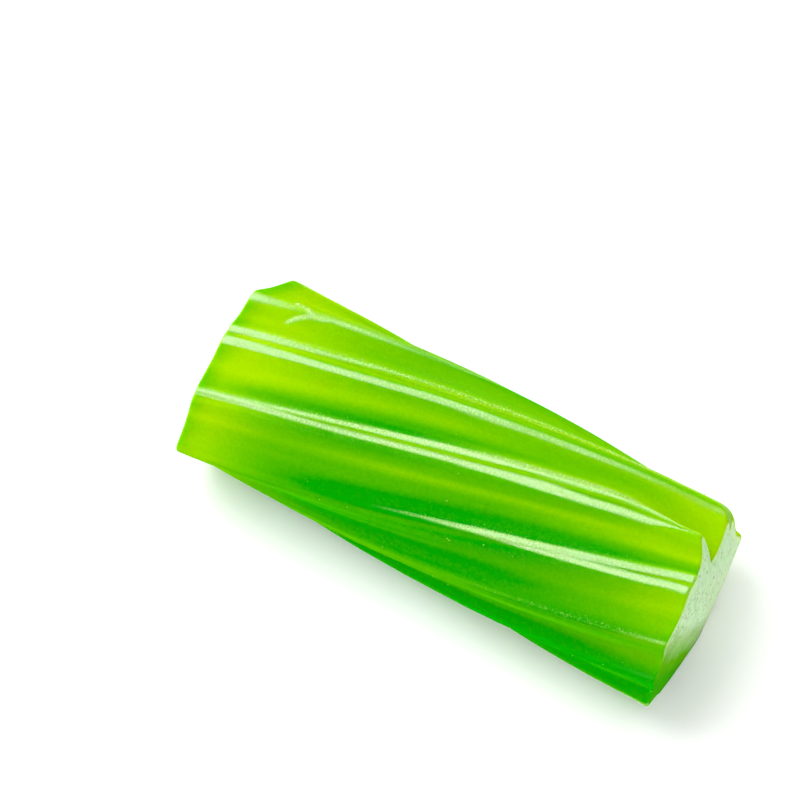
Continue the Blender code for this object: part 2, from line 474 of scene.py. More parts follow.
class DustBand(NamedTuple):
    """Where fine grains cling to the stick, in a band beside a rib."""

    rib: int
    offset: float  # millimetres from the rib's crease to the band's middle
    width: float  # millimetres over which it thins out
    start: float  # where it begins and ends along the stick
    stop: float
    amount: float  # 0 to 1


DUST_BANDS = (
    DustBand(1, -0.3, 0.4, 0.25, 0.7, 0.1),
    DustBand(2, -0.7, 0.35, 0.1, 0.45, 0.6),
    DustBand(2, -0.8, 0.5, 0.4, 0.88, 1),
    DustBand(2, -2.5, 0.9, 0.38, 0.7, 0.12),
    DustBand(3, -0.8, 0.25, 0.15, 0.5, 0.2),
    DustBand(3, -1.4, 0.3, 0.5, 0.9, 0.3),
    DustBand(3, 0.6, 0.3, 0.1, 0.5, 0.1),
    DustBand(4, -0.8, 0.25, 0.5, 0.95, 0.15),
    DustBand(4, 0.9, 0.35, 0.6, 0.95, 0.06),
    DustBand(5, -0.5, 0.25, 0.7, 1, 0.25),
)

NICK = (
    ((4.1, 1.95), (4.55, 1.35), (5.4, 0.85), (6.5, 0.75)),
    ((3.4, -0.1), (4.4, 0.15), (5.4, 0.85)),
)  # the two ridges of the torn nick: millimetres from the -X cut and beside the crease of the nicked rib


@dataclass
class FinishMap:
    """Where the stick is polished, dusty or torn, and its painted light and shade, kept as marks on the
    points of its surface.
    """

    outline: RibOutline
    length: float
    strip_edge: float = 0.14 * MM  # over which a strip's edge fades
    streak_fade: float = 0.3  # over which a streak or a band begins and ends, as a share of the stick
    streak_falloff: float = 1.6  # how steeply a streak fades across its flute
    # over which the painted shade along the rim of the -X cut fades
    rim_shade_run: float = 1.3 * MM
    bead_painted_light_tone: float = 0.75  # painted light: the polished beads are lightened under their highlights
    bead_painted_light_share: float = 0.75
    plain_dust: float = 0.004
    dust_height: float = 0.5 * MM  # the grains keep this far above the flat
    nick_rib: int = 1
    nick_width: float = 0.18 * MM
    nick_height: float = 0.1 * MM

    def angles(self, cut: Cut) -> np.ndarray:
        """The angle of each column at a cut.

        Args:
            cut: the end of the stick.

        Returns:
            The angles in radians, from one rib before the first column to two ribs past a full turn.
        """
        more = self.outline.columns_per_rib
        columns = range(-more, self.outline.columns + 2 * more)
        return np.array([self.outline.point(column, cut, notched=False).x for column in columns])

    def beside(self, rib: int, column: np.ndarray, along: np.ndarray) -> np.ndarray:
        """How far beside a rib's crease each point lies.

        Args:
            rib: the rib.
            column: the column of each point.
            along: how far along the stick each point lies, 0 to 1.

        Returns:
            The distance round the stick in metres, and infinity further away than the next rib.
        """
        each, whole = self.outline.columns_per_rib, self.outline.columns
        away = (column - rib * each + whole // 2) % whole - whole // 2
        near = np.abs(away) <= each
        here, crease = rib * each + away[near] + each, rib * each + each
        start, end = (angles[here] - angles[crease] for angles in map(self.angles, Cut))
        beside = np.full(len(column), np.inf)
        beside[near] = self.outline.rib_radius * (start + (end - start) * along[near])
        return beside

    def run(self, along: np.ndarray, start: float, stop: float) -> np.ndarray:
        """How much of a streak is there at each point along the stick.

        Args:
            along: how far along the stick each point lies, 0 to 1.
            start: where the streak begins.
            stop: where it ends.

        Returns:
            The share of the streak, 0 to 1.
        """
        rise, fall = (np.clip(past / self.streak_fade + 0.5, 0, 1) for past in (along - start, stop - along))
        return rise * rise * (3 - 2 * rise) * fall * fall * (3 - 2 * fall)

    def polish(self, column: np.ndarray, along: np.ndarray) -> np.ndarray:
        """How well each point is polished.

        Args:
            column: the column of each point.
            along: how far along the stick each point lies, 0 to 1.

        Returns:
            The polish of each point, 0 to 1.
        """
        told = {strip.rib for strip in STRIPS}
        plain = [number for number in range(len(RIBS[Cut.START])) if number not in told]
        strips = [*STRIPS, *(strip._replace(rib=number) for number in plain for strip in PLAIN_STRIPS)]
        polish = np.zeros(len(along))
        for strip in strips:
            offset = self.beside(strip.rib, column, along)
            low, high, shine = (
                np.interp(along, np.linspace(0, 1, len(values)), values)
                for values in (strip.low, strip.high, strip.shine)
            )
            inside = np.minimum(offset - low * MM, high * MM - offset)
            polish = np.maximum(polish, shine * np.clip(0.5 + inside / self.strip_edge, 0, 1))
        return polish

    def painted_light_and_tone(self, flute: np.ndarray, across: np.ndarray, along: np.ndarray) -> np.ndarray:
        """The painted light and shade at each point, as a tone of the green.

        Args:
            flute: the number of each point's flute.
            across: how far across its flute each point lies, from one bead at 0 to the next at 1.
            along: how far along the stick each point lies, 0 to 1.

        Returns:
            The painted light and shade, from 0 for deep green to 1 for yellow-green.
        """
        ribs = len(RIB_SHADING)
        place = flute + (across + 1) / 3
        middle, start, start_run, end, end_run, rim = (
            np.interp(place, np.arange(ribs + 1), (*values, values[0])) for values in zip(*RIB_SHADING)
        )
        from_start, to_end = along * self.length, (1 - along) * self.length
        # Painted glow near both cuts, and painted shade along the rim of the -X cut
        painted_light_and_tone = middle + (start - middle) * np.exp(-((from_start / (start_run * MM)) ** 2))
        painted_light_and_tone += (end - middle) * np.exp(-((to_end / (end_run * MM)) ** 2))
        painted_light_and_tone -= rim * np.exp(-((from_start / self.rim_shade_run) ** 2))
        # Painted light and shade streaks along the flutes
        told = {streak.flute for streak in SHADING_STREAKS}
        plain = [PLAIN_SHADING_STREAK._replace(flute=number) for number in range(ribs) if number not in told]
        for streak in (*SHADING_STREAKS, *plain):
            here = flute == streak.flute
            bump = np.exp(-self.streak_falloff * ((across[here] - streak.share) / streak.width) ** 2)
            painted_light_and_tone[here] += streak.light * bump * self.run(along[here], streak.start, streak.stop)
        return np.clip(painted_light_and_tone, 0, 1)

    def dust(self, column: np.ndarray, along: np.ndarray) -> np.ndarray:
        """How thickly the fine grains lie at each point.

        Args:
            column: the column of each point.
            along: how far along the stick each point lies, 0 to 1.

        Returns:
            The amount of dust, 0 to 1.
        """
        dust = np.full(len(along), self.plain_dust)
        for band in DUST_BANDS:
            away = (self.beside(band.rib, column, along) / MM - band.offset) / band.width
            dust = np.maximum(dust, band.amount * np.exp(-(away**2)) * self.run(along, band.start, band.stop))
        return dust

    def nick(self, column: np.ndarray, along: np.ndarray) -> np.ndarray:
        """How near each point lies to the ridges of the torn nick.

        Args:
            column: the column of each point.
            along: how far along the stick each point lies, 0 to 1.

        Returns:
            1 on a ridge, falling to 0 beside it.
        """
        beside = self.beside(self.nick_rib, column, along)
        place = np.stack([along * self.length, np.where(np.isfinite(beside), beside, 1.0)], axis=1)
        away = np.full(len(along), np.inf)
        for ridge in NICK:
            for here, there in zip(np.array(ridge) * MM, np.array(ridge[1:]) * MM):
                leg = there - here
                share = np.clip((place - here) @ leg / (leg @ leg), 0, 1)
                away = np.minimum(away, np.linalg.norm(place - here - share[:, None] * leg, axis=1))
        return np.exp(-((away / self.nick_width) ** 2))

    def read(self, mesh: bpy.types.Mesh, name: str) -> np.ndarray:
        """Read an attribute of the mesh.

        Args:
            mesh: the stick's mesh.
            name: the attribute's name.

        Returns:
            A number, or a row of three, for each point.
        """
        layer = mesh.attributes[name]
        width, kind = (3, "vector") if layer.data_type == "FLOAT_VECTOR" else (1, "value")
        values = np.empty(len(mesh.vertices) * width)
        layer.data.foreach_get(kind, values)
        return values.reshape(-1, width).squeeze()

    def mark(self, piece: bpy.types.Object) -> None:
        """Raise the torn nick, and store the polish, the painted light and shade, and the dust on the piece's
        points.

        Args:
            piece: the stick, which carries the marks of its shape.
        """
        mesh = piece.data
        along, paint, blank = (self.read(mesh, name) for name in ("along", "paint", "blank_place"))
        turn = np.arctan2(blank[:, 1], blank[:, 0]) / math.tau
        column = np.round(turn % 1 * self.outline.columns).astype(int) % self.outline.columns
        side = self.read(mesh, "ring") > SIDE_RING
        places, normals = np.empty(len(along) * 3), np.empty(len(along) * 3)
        mesh.vertices.foreach_get("co", places)
        mesh.vertex_normals.foreach_get("vector", normals)
        nick = side * self.nick(column, along)
        mesh.vertices.foreach_set("co", places + np.repeat(nick * self.nick_height, 3) * normals)
        polish = np.maximum(self.polish(column, along), nick)
        painted_light_and_tone = self.painted_light_and_tone(np.round(paint[:, 2]), paint[:, 0], along)
        # Painted light: the polished beads are lightened under their highlights
        painted_light_and_tone += self.bead_painted_light_share * polish * (self.bead_painted_light_tone - painted_light_and_tone)
        # Painted highlight on the ridges of the torn nick, lightened in the tone and speckled like the dust
        painted_light_and_tone += nick * (1 - painted_light_and_tone)
        dust = side * (places[2::3] > self.dust_height) * np.maximum(self.dust(column, along), nick)
        for name, values in {"polish": polish, "painted_light_and_tone": painted_light_and_tone, "dust": dust}.items():
            mesh.attributes.new(name, "FLOAT", "POINT").data.foreach_set("value", values)
        mesh.update()


@dataclass
class ShapeTree:
    """A Geometry Nodes tree with named inputs for its sizes, which is run once and leaves a plain mesh."""

    name: str
    sizes: dict[str, float | int]

    def open(self) -> tuple[bpy.types.GeometryNodeTree, dict[str, bpy.types.NodeSocket]]:
        """Start the tree.

        Returns:
            The empty tree, and each of its inputs by name: Geometry and the sizes.
        """
        tree = bpy.data.node_groups.new(self.name, "GeometryNodeTree")
        tree.interface.new_socket("Geometry", in_out="INPUT", socket_type="NodeSocketGeometry")
        tree.interface.new_socket("Geometry", in_out="OUTPUT", socket_type="NodeSocketGeometry")
        for name, value in self.sizes.items():
            kind = "NodeSocketInt" if isinstance(value, int) else "NodeSocketFloat"
            tree.interface.new_socket(name, in_out="INPUT", socket_type=kind)
        entry = tree.nodes.new("NodeGroupInput")
        return tree, {socket.name: socket for socket in entry.outputs if socket.name}

    def close(
        self, tree: bpy.types.GeometryNodeTree, shape: bpy.types.NodeSocket, dress: bpy.types.Material
    ) -> None:
        """End the tree with plain geometry that wears its material.

        Args:
            tree: the tree.
            shape: the geometry that it makes.
            dress: the material.
        """
        real = add(tree, "GeometryNodeRealizeInstances", shape)
        smooth = add(tree, "GeometryNodeSetShadeSmooth", real)
        add(tree, "NodeGroupOutput", add(tree, "GeometryNodeSetMaterial", smooth, None, dress))

    def run(self, tree: bpy.types.GeometryNodeTree, carrier: bpy.types.Object, name: str) -> bpy.types.Object:
        """Run the tree on an object and keep what it makes as a plain mesh.

        Args:
            tree: the finished tree.
            carrier: the object whose mesh the tree reads.
            name: the name of the new object.

        Returns:
            The new object, at the origin and with no modifier.
        """
        modifier = carrier.modifiers.new(self.name, "NODES")
        modifier.node_group = tree
        for item in tree.interface.items_tree:
            if item.in_out == "INPUT" and item.name in self.sizes:
                modifier[item.identifier] = self.sizes[item.name]
        shaped = carrier.evaluated_get(bpy.context.evaluated_depsgraph_get())
        made = new_object(name, bpy.data.meshes.new_from_object(shaped))
        made.data.name = name
        carrier.modifiers.remove(modifier)
        return made


@dataclass
class LicoriceStick:
    """The stick itself: the outline at each cut, drawn along the twist and closed by the two cuts."""

    outline: RibOutline
    length: float = 46.3 * MM
    flat_drop: float = 7.9 * MM  # from the stick's middle down to the flat that it rests on
    flat_round: float = 0.52 * MM
    notch_run: float = 4.5 * MM
    end_lean: float = 1.4  # degrees that the +X cut leans forwards at its top
    end_lean_angle: float = 114.0
    trim_angle: float = 25.0  # the -X cut is trimmed to a slant on this side
    trim_start: float = 6.9 * MM
    trim_slope: float = 0.65
    cut_dome: float = 0.45 * MM
    cut_round: float = 0.22 * MM
    reach_power: float = 3.0
    rows: int = 250
    cut_rings: int = 10
    row_crowding: float = 0.7  # how far the rows crowd towards the two cuts
    wander: float = 0.12 * MM  # how unevenly the soft stick was drawn
    wander_turn: float = 1.6  # degrees that its ribs meander
    wander_stretch: Triple = (0.9, 0.9, 4.0)
    drag_lines: float = 0.02 * MM
    drag_stretch: Triple = (22.0, 22.0, 2.5)
    dimples: float = 0.05 * MM
    dimple_size: float = 2.6 * MM
    cut_ripple: float = 0.07 * MM
    ripple_size: float = 1.6 * MM
    ripple_stretch: Triple = (1.0, 2.2, 0.7)
    relief_heights: Pair = (0.2 * MM, 1.0 * MM)  # over the flat, between which the fine relief sets in
    belt_dents: float = 0.07 * MM  # the imprint of the cooling belt's mesh in the flat
    belt_pitch: float = 1.0 * MM
    belt_crossing: Pair = (0.6, 2.0)  # the two waves' sum at the edge and in the middle of a dent
    flat_height: float = 0.05 * MM  # the flat's points lie lower than this

    def sizes(self) -> dict[str, float | int]:
        """List the named inputs of the stick's tree.

        Returns:
            The value of each input by its name.
        """
        return {
            "Columns": self.outline.columns,
            "Rows": self.rows,
            "Cut rings": self.cut_rings,
            "Length": self.length,
            "Rib radius": self.outline.rib_radius,
            "Flat drop": self.flat_drop,
            "Flat round": self.flat_round,
            "Notch run": self.notch_run,
            "Trim start": self.trim_start,
            "Trim slope": self.trim_slope,
            "Cut dome": self.cut_dome,
            "Cut round": self.cut_round,
            "Reach power": self.reach_power,
            "Wander": self.wander,
            "Wander turn": math.radians(self.wander_turn),
            "Drag lines": self.drag_lines,
            "Dimples": self.dimples,
            "Cut ripple": self.cut_ripple,
            "Belt dents": self.belt_dents,
            "Belt pitch": self.belt_pitch,
        }

    def build(self, dress: bpy.types.Material) -> bpy.types.Object:
        """Make the stick.

        Args:
            dress: the material that it wears.

        Returns:
            The finished piece.
        """
        shape = ShapeTree("Drawn stick", self.sizes())
        tree, size = shape.open()
        counts = (size["Columns"], size["Rows"], size["Cut rings"])
        blank = add(tree, "GeometryNodeMeshCylinder", *counts, 1.0, 1.0, fill_type="TRIANGLE_FAN")
        marked = self.mark(tree, size, blank)
        drawn = self.draw(tree, size, marked)
        shape.close(tree, self.roughen(tree, size, self.centre(tree, drawn)), dress)
        guide = self.outline.guide()
        made = shape.run(tree, guide, NODE + "_surface")
        bpy.data.objects.remove(guide, do_unlink=True)
        FinishMap(self.outline, self.length).mark(made)
        return made

    def mark(
        self, tree: bpy.types.NodeTree, size: dict[str, bpy.types.NodeSocket], blank: bpy.types.NodeSocket
    ) -> bpy.types.NodeSocket:
        """Give each point of the plain cylinder its place on the stick, as marks that the finish reads too.

        Args:
            tree: the stick's tree.
            size: the tree's inputs.
            blank: the plain cylinder, one unit long and one in radius.

        Returns:
            The cylinder with along, ring, blank_place, start, end, notch and paint on it.
        """
        place = add(tree, "GeometryNodeInputPosition")
        x, y, z = add(tree, "ShaderNodeSeparateXYZ", place).node.outputs
        angle = add(tree, "ShaderNodeMath", y, x, operation="ARCTAN2")
        turn = add(tree, "ShaderNodeMath", angle, math.tau, operation="DIVIDE")
        number = add(tree, "ShaderNodeMath", turn, size["Columns"], operation="MULTIPLY")
        whole = add(tree, "ShaderNodeMath", number, operation="ROUND")
        column = add(tree, "ShaderNodeMath", whole, size["Columns"], 0.0, operation="WRAP")
        even = add(tree, "ShaderNodeMath", z, 0.5, operation="ADD")
        phase = add(tree, "ShaderNodeMath", even, math.tau, operation="MULTIPLY")
        wave = add(tree, "ShaderNodeMath", phase, operation="SINE")
        crowd = -self.row_crowding / math.tau
        along = add(tree, "ShaderNodeMath", wave, crowd, even, operation="MULTIPLY_ADD")
        flat_place = add(tree, "ShaderNodeVectorMath", place, (1.0, 1.0, 0.0), operation="MULTIPLY")
        spoke = add(tree, "ShaderNodeVectorMath", flat_place, operation="LENGTH")
        quarter = add(tree, "ShaderNodeMath", spoke, math.pi / 2, operation="MULTIPLY")
        ring = add(tree, "ShaderNodeMath", quarter, operation="SINE")
        fields = {"along": ("FLOAT", along), "ring": ("FLOAT", ring), "blank_place": ("FLOAT_VECTOR", place)}
        guide = size["Geometry"]
        for name in ("start", "end", "notch", "paint"):
            carried = add(tree, "GeometryNodeInputNamedAttribute", name, data_type="FLOAT_VECTOR")
            sample = add(tree, "GeometryNodeSampleIndex", guide, carried, column, data_type="FLOAT_VECTOR")
            fields[name] = ("FLOAT_VECTOR", sample)
        marked = blank
        for name, (kind, value) in fields.items():
            marked = add(tree, "GeometryNodeStoreNamedAttribute", marked, None, name, value, data_type=kind)
        return marked

    def draw(
        self, tree: bpy.types.NodeTree, size: dict[str, bpy.types.NodeSocket], marked: bpy.types.NodeSocket
    ) -> bpy.types.NodeSocket:
        """Move each point of the cylinder to its place on the stick.

        Args:
            tree: the stick's tree.
            size: the tree's inputs.
            marked: the cylinder with its marks.

        Returns:
            The drawn stick, not yet centred.
        """
        along, ring = (
            add(tree, "GeometryNodeInputNamedAttribute", name, data_type="FLOAT")
            for name in ("along", "ring")
        )
        start, end, notch, paint, blank_place = (
            add(tree, "GeometryNodeInputNamedAttribute", name, data_type="FLOAT_VECTOR")
            for name in ("start", "end", "notch", "paint", "blank_place")
        )
        to_end = add(tree, "ShaderNodeMath", 1.0, along, operation="SUBTRACT")
        run = add(tree, "ShaderNodeMath", to_end, size["Length"], operation="MULTIPLY")
        runs = add(tree, "ShaderNodeMath", run, size["Notch run"], operation="DIVIDE")
        runs_squared = add(tree, "ShaderNodeMath", runs, runs, operation="MULTIPLY")
        fallen = add(tree, "ShaderNodeMath", runs_squared, -1.0, operation="MULTIPLY")
        fade = add(tree, "ShaderNodeMath", fallen, operation="EXPONENT")
        between = add(tree, "ShaderNodeMix", along, start, end, data_type="VECTOR")
        faded_notch = add(tree, "ShaderNodeVectorMath", notch, fade, operation="SCALE")
        notched = add(tree, "ShaderNodeVectorMath", faded_notch, between, operation="ADD")
        angle, radius, _ = add(tree, "ShaderNodeSeparateXYZ", notched).node.outputs
        # The soft stick was drawn a little unevenly
        stretched = add(tree, "ShaderNodeVectorMath", blank_place, self.wander_stretch, operation="MULTIPLY")
        noise = add(tree, "ShaderNodeTexNoise", stretched, 1.0, 1.0, 0.5).node.outputs["Color"]
        uneven = add(tree, "ShaderNodeVectorMath", noise, (0.5, 0.5, 0.5), operation="SUBTRACT")
        swell, sway, _ = add(tree, "ShaderNodeSeparateXYZ", uneven).node.outputs
        angle = add(tree, "ShaderNodeMath", sway, size["Wander turn"], angle, operation="MULTIPLY_ADD")
        radius = add(tree, "ShaderNodeMath", swell, size["Wander"], radius, operation="MULTIPLY_ADD")
        # The rounded edge of each cut, worn rounder on one corner of the +X cut
        nearer = add(tree, "ShaderNodeMath", along, to_end, operation="MINIMUM")
        from_cut = add(tree, "ShaderNodeMath", nearer, size["Length"], operation="MULTIPLY")
        worn = add(tree, "ShaderNodeSeparateXYZ", paint).node.outputs["Y"]
        past_middle = add(tree, "ShaderNodeMath", along, 0.5, operation="GREATER_THAN")
        rounding = add(tree, "ShaderNodeMath", worn, past_middle, size["Cut round"], operation="MULTIPLY_ADD")
        share = add(tree, "ShaderNodeMath", from_cut, rounding, operation="DIVIDE")
        short = add(tree, "ShaderNodeMath", 1.0, share, operation="SUBTRACT", use_clamp=True)
        squared = add(tree, "ShaderNodeMath", short, short, operation="MULTIPLY")
        left = add(tree, "ShaderNodeMath", 1.0, squared, operation="SUBTRACT")
        kept = add(tree, "ShaderNodeMath", left, operation="SQRT")
        lost = add(tree, "ShaderNodeMath", 1.0, kept, operation="SUBTRACT")
        drawn_in = add(tree, "ShaderNodeMath", lost, rounding, operation="MULTIPLY")
        radius = add(tree, "ShaderNodeMath", radius, drawn_in, operation="SUBTRACT")
        radius = add(tree, "ShaderNodeMath", radius, ring, operation="MULTIPLY")
        # The section, pressed flat at the bottom
        cosine = add(tree, "ShaderNodeMath", angle, operation="COSINE")
        sine = add(tree, "ShaderNodeMath", angle, operation="SINE")
        across = add(tree, "ShaderNodeMath", radius, cosine, operation="MULTIPLY")
        free = add(tree, "ShaderNodeMath", radius, sine, operation="MULTIPLY")
        floor = add(tree, "ShaderNodeMath", size["Flat drop"], -1.0, operation="MULTIPLY")
        height = add(tree, "ShaderNodeMath", free, floor, size["Flat round"], operation="SMOOTH_MAX")
        section = add(tree, "ShaderNodeCombineXYZ", 0.0, across, height)
        # The two cuts: a plane each, domed, with rib ends that run past it
        lean, trim = math.radians(self.end_lean_angle), math.radians(self.trim_angle)
        lean_by = math.tan(math.radians(self.end_lean))
        lean_slope = (0.0, lean_by * math.cos(lean), lean_by * math.sin(lean))
        trim_side = (0.0, math.cos(trim), math.sin(trim))
        half = add(tree, "ShaderNodeMath", size["Length"], 0.5, operation="MULTIPLY")
        leaning = add(tree, "ShaderNodeVectorMath", section, lean_slope, operation="DOT_PRODUCT")
        end_plane = add(tree, "ShaderNodeMath", half, leaning, operation="ADD")
        towards_trim = add(tree, "ShaderNodeVectorMath", section, trim_side, operation="DOT_PRODUCT")
        past_start = add(tree, "ShaderNodeMath", towards_trim, size["Trim start"], operation="SUBTRACT")
        beyond = add(tree, "ShaderNodeMath", past_start, 0.0, operation="MAXIMUM")
        trimmed = add(tree, "ShaderNodeMath", beyond, size["Trim slope"], operation="MULTIPLY")
        start_plane = add(tree, "ShaderNodeMath", trimmed, half, operation="SUBTRACT")
        from_middle = add(tree, "ShaderNodeMath", radius, size["Rib radius"], operation="DIVIDE")
        reaching = add(tree, "ShaderNodeMath", from_middle, size["Reach power"], operation="POWER")
        fallen_off = add(tree, "ShaderNodeMath", from_middle, from_middle, operation="MULTIPLY")
        bulge = add(tree, "ShaderNodeMath", 1.0, fallen_off, operation="SUBTRACT")
        dome = add(tree, "ShaderNodeMath", bulge, size["Cut dome"], operation="MULTIPLY")
        ends = []
        for rim in (start, end):
            reach = add(tree, "ShaderNodeSeparateXYZ", rim).node.outputs["Z"]
            ends.append(add(tree, "ShaderNodeMath", reach, reaching, dome, operation="MULTIPLY_ADD"))
        start_x = add(tree, "ShaderNodeMath", start_plane, ends[0], operation="SUBTRACT")
        end_x = add(tree, "ShaderNodeMath", end_plane, ends[1], operation="ADD")
        lengthwise = add(tree, "ShaderNodeMix", along, start_x, end_x, data_type="FLOAT")
        placed = add(tree, "ShaderNodeCombineXYZ", lengthwise, across, height)
        return add(tree, "GeometryNodeSetPosition", marked, None, placed)

    def centre(self, tree: bpy.types.NodeTree, drawn: bpy.types.NodeSocket) -> bpy.types.NodeSocket:
        """Set the stick where the solid lies: on the floor, with the middle of its box over the solid's.

        Args:
            tree: the stick's tree.
            drawn: the drawn stick.

        Returns:
            The stick in its place.
        """
        low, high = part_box(NODE)
        goal = Vector(((low.x + high.x) / 2, (low.y + high.y) / 2, low.z))
        lowest, highest = add(tree, "GeometryNodeBoundBox", drawn).node.outputs[1:3]
        halfway = {"data_type": "VECTOR", "factor_mode": "NON_UNIFORM"}
        middle = add(tree, "ShaderNodeMix", (0.5, 0.5, 0.0), lowest, highest, **halfway)
        shift = add(tree, "ShaderNodeVectorMath", tuple(goal), middle, operation="SUBTRACT")
        return add(tree, "GeometryNodeSetPosition", drawn, None, None, shift)

    def roughen(
        self, tree: bpy.types.NodeTree, size: dict[str, bpy.types.NodeSocket], placed: bpy.types.NodeSocket
    ) -> bpy.types.NodeSocket:
        """Raise the fine relief: the die's drag lines, soft dimples, the knife's ripple and the belt's dents.

        Args:
            tree: the stick's tree.
            size: the tree's inputs.
            placed: the stick in its place.

        Returns:
            The stick with its relief.
        """
        place = add(tree, "GeometryNodeInputPosition")
        ring = add(tree, "GeometryNodeInputNamedAttribute", "ring", data_type="FLOAT")
        blank_place = add(tree, "GeometryNodeInputNamedAttribute", "blank_place", data_type="FLOAT_VECTOR")
        cut = add(tree, "ShaderNodeMath", ring, SIDE_RING, operation="LESS_THAN")
        side = add(tree, "ShaderNodeMath", 1.0, cut, operation="SUBTRACT")
        lines_place = add(tree, "ShaderNodeVectorMath", blank_place, self.drag_stretch, operation="MULTIPLY")
        lines = add(tree, "ShaderNodeTexNoise", lines_place, 1.0, 1.0, 0.5)
        dimples = add(tree, "ShaderNodeTexNoise", place, 1 / self.dimple_size, 1.0, 0.5)
        ripple_place = add(tree, "ShaderNodeVectorMath", place, self.ripple_stretch, operation="MULTIPLY")
        ripple = add(tree, "ShaderNodeTexNoise", ripple_place, 1 / self.ripple_size, 2.0, 0.5)
        relief = 0.0
        for noise, depth, where in (
            (lines, size["Drag lines"], side),
            (dimples, size["Dimples"], side),
            (ripple, size["Cut ripple"], cut),
        ):
            level = add(tree, "ShaderNodeMath", noise, 0.5, operation="SUBTRACT")
            masked = add(tree, "ShaderNodeMath", level, where, operation="MULTIPLY")
            relief = add(tree, "ShaderNodeMath", masked, depth, relief, operation="MULTIPLY_ADD")
        x, y, height = add(tree, "ShaderNodeSeparateXYZ", place).node.outputs
        soft = {"interpolation_type": "SMOOTHSTEP"}
        off_floor = add(tree, "ShaderNodeMapRange", height, *self.relief_heights, 0.0, 1.0, **soft)
        relief = add(tree, "ShaderNodeMath", relief, off_floor, operation="MULTIPLY")
        # The belt's mesh pressed a dent into the flat wherever two of its wires cross
        step = add(tree, "ShaderNodeMath", math.tau, size["Belt pitch"], operation="DIVIDE")
        waves = []
        for place_along in (x, y):
            phase = add(tree, "ShaderNodeMath", place_along, step, operation="MULTIPLY")
            waves.append(add(tree, "ShaderNodeMath", phase, operation="COSINE"))
        crossed = add(tree, "ShaderNodeMath", *waves, operation="ADD")
        pressed = add(tree, "ShaderNodeMapRange", crossed, *self.belt_crossing, 0.0, 1.0, **soft)
        on_flat = add(tree, "ShaderNodeMath", height, self.flat_height, operation="LESS_THAN")
        inside = add(tree, "ShaderNodeMath", pressed, on_flat, operation="MULTIPLY")
        dent = add(tree, "ShaderNodeMath", inside, size["Belt dents"], operation="MULTIPLY")
        normal = add(tree, "GeometryNodeInputNormal")
        offset = add(tree, "ShaderNodeVectorMath", normal, relief, operation="SCALE")
        lift = add(tree, "ShaderNodeCombineXYZ", 0.0, 0.0, dent)
        moved = add(tree, "ShaderNodeVectorMath", offset, lift, operation="ADD")
        return add(tree, "GeometryNodeSetPosition", placed, None, None, moved)


@dataclass
class FineGrains:
    """Fine sugar grains that cling to the stick, each a small uneven lump."""

    per_area: float = 12 / MM**2  # where the dust is thickest
    smallest: float = 0.025 * MM
    largest: float = 0.06 * MM
    stretch: float = 1.6
    sunk: float = 0.3  # of a grain's radius
    seed: int = 11

    def build(self, stick: bpy.types.Object, dress: bpy.types.Material) -> bpy.types.Object:
        """Scatter the grains over the stick.

        Args:
            stick: the finished stick, with its dust marked.
            dress: the material that the grains wear.

        Returns:
            The grains, as one piece.
        """
        sizes = {
            "Per area": self.per_area,
            "Smallest": self.smallest,
            "Largest": self.largest,
            "Seed": self.seed,
        }
        shape = ShapeTree("Scattered grains", sizes)
        tree, size = shape.open()
        ground = size["Geometry"]
        dust = add(tree, "GeometryNodeInputNamedAttribute", "dust", data_type="FLOAT")
        density = add(tree, "ShaderNodeMath", dust, size["Per area"], operation="MULTIPLY")
        scatter = add(tree, "GeometryNodeDistributePointsOnFaces", ground, None, density, size["Seed"]).node
        grain = add(tree, "GeometryNodeMeshIcoSphere", 1.0, 1)
        radius = add(tree, "FunctionNodeRandomValue", size["Smallest"], size["Largest"], data_type="FLOAT")
        no_turn, full_turn = (0.0,) * 3, (math.tau,) * 3
        turn = add(tree, "FunctionNodeRandomValue", no_turn, full_turn, data_type="FLOAT_VECTOR")
        squeezed, stretched = (1 / self.stretch,) * 3, (self.stretch,) * 3
        form = add(tree, "FunctionNodeRandomValue", squeezed, stretched, data_type="FLOAT_VECTOR")
        scale = add(tree, "ShaderNodeVectorMath", form, radius, operation="SCALE")
        down = add(tree, "ShaderNodeMath", radius, -self.sunk, operation="MULTIPLY")
        inwards = add(tree, "ShaderNodeVectorMath", scatter.outputs["Normal"], down, operation="SCALE")
        spots = add(tree, "GeometryNodeSetPosition", scatter.outputs["Points"], None, None, inwards)
        grains = add(tree, "GeometryNodeInstanceOnPoints", spots, None, grain, None, None, turn, scale)
        shape.close(tree, grains, dress)
        return shape.run(tree, stick, "fine_sugar_grains")


@dataclass(frozen=True)
class GrainFinish:
    """Crystalline sugar: clear grains that take some green from the jelly and sparkle."""

    colour: str = "BCE24C"
    shaded: str = "78C214"
    cloud_size: float = 0.6 * MM
    roughness: float = 0.4
    specular: float = 0.25

    def material(self) -> bpy.types.Material:
        """Make the material.

        Returns:
            The material of the grains.
        """
        made = bpy.data.materials.new("crystalline_sugar_dust")
        made.use_nodes = True
        tree = made.node_tree
        tree.nodes.clear()
        place = add(tree, "ShaderNodeTexCoord").node.outputs["Object"]
        cloudy = add(tree, "ShaderNodeTexNoise", place, 1 / self.cloud_size, 1.0, 0.5)
        shader = tree.nodes.new("ShaderNodeBsdfPrincipled")
        shaded, bright = linear(self.shaded), linear(self.colour)
        colour = add(tree, "ShaderNodeMix", cloudy, shaded, bright, data_type="RGBA")
        tree.links.new(colour, shader.inputs["Base Color"])
        shader.inputs["Roughness"].default_value = self.roughness
        shader.inputs["Specular IOR Level"].default_value = self.specular
        add(tree, "ShaderNodeOutputMaterial", shader.outputs["BSDF"])
        return made


